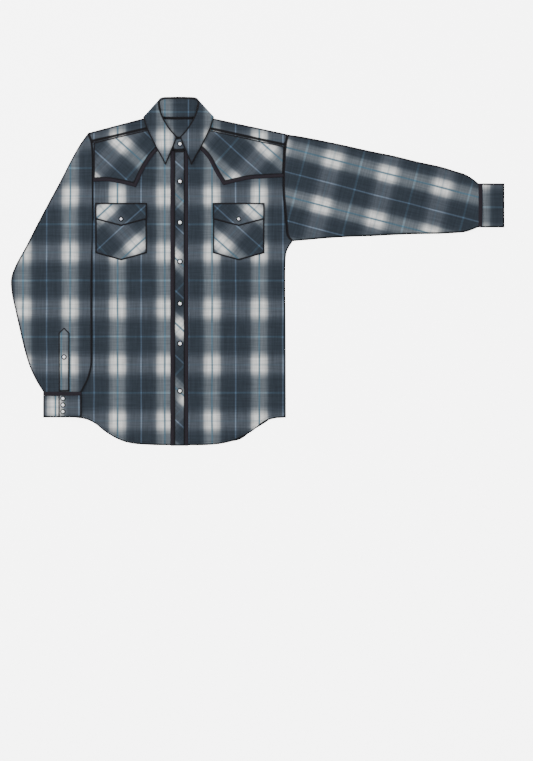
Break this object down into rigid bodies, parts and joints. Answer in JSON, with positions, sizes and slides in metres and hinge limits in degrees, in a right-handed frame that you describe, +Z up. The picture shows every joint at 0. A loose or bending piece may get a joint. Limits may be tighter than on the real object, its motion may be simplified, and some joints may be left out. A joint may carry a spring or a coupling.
{
  "type": "western snap shirt",
  "caption": "Long-sleeved checked western shirt laid flat, with pointed yokes, piping, flap pockets, pearl snaps and an embroidered back yoke.",
  "frame": {"origin": "on the surface that the shirt lies on, under the middle of the laid-out shirt's bounding box", "axes": "+Z up, out of the shirt's front; +Y towards the collar; +X towards the outstretched sleeve, which is the wearer's left"},
  "size_m": [1.232, 0.872, 0.0127],
  "materials": {
    "check_cloth": "soft brushed cotton check in slate, grey and white with thin blue lines",
    "bias_check_cloth": "the same cotton check cut on the bias",
    "piping": "near-black cotton piping",
    "pearl_snap": "white pearl cap in a dark metal rim",
    "top_stitch": "dark slate cotton sewing thread",
    "embroidery": "pale grey satin-stitch thread with a slight sheen"
  },
  "bodies": {
    "root": {"back_panel": "check_cloth", "back_yoke": "bias_check_cloth", "back_yoke_piping": "piping", "front_left": "check_cloth", "front_right": "check_cloth", "shoulder_strip_left": "check_cloth", "shoulder_strip_right": "check_cloth", "front_yoke_left": "bias_check_cloth", "front_yoke_right": "bias_check_cloth", "front_yoke_piping_left": "piping", "front_yoke_piping_right": "piping", "pocket_left": "bias_check_cloth", "pocket_right": "bias_check_cloth", "pocket_flap_left": "bias_check_cloth", "pocket_flap_right": "bias_check_cloth", "placket": "bias_check_cloth", "placket_piping_left": "piping", "placket_piping_right": "piping", "collar": "check_cloth", "collar_stand": "check_cloth", "sleeve_left": "check_cloth", "sleeve_right": "check_cloth", "sleeve_placket_left": "check_cloth", "sleeve_placket_right": "check_cloth", "cuff_left": "check_cloth", "cuff_right": "check_cloth", "cuff_piping_left": "piping", "cuff_piping_right": "piping", "snap_front_1": "pearl_snap", "snap_front_2": "pearl_snap", "snap_front_3": "pearl_snap", "snap_front_4": "pearl_snap", "snap_front_5": "pearl_snap", "snap_front_6": "pearl_snap", "snap_front_7": "pearl_snap", "snap_pocket_left": "pearl_snap", "snap_pocket_right": "pearl_snap", "snap_sleeve_left": "pearl_snap", "snap_sleeve_right": "pearl_snap", "snap_cuff_left_1": "pearl_snap", "snap_cuff_left_2": "pearl_snap", "snap_cuff_left_3": "pearl_snap", "snap_cuff_right_1": "pearl_snap", "snap_cuff_right_2": "pearl_snap", "snap_cuff_right_3": "pearl_snap"}
  },
  "joints": []
}
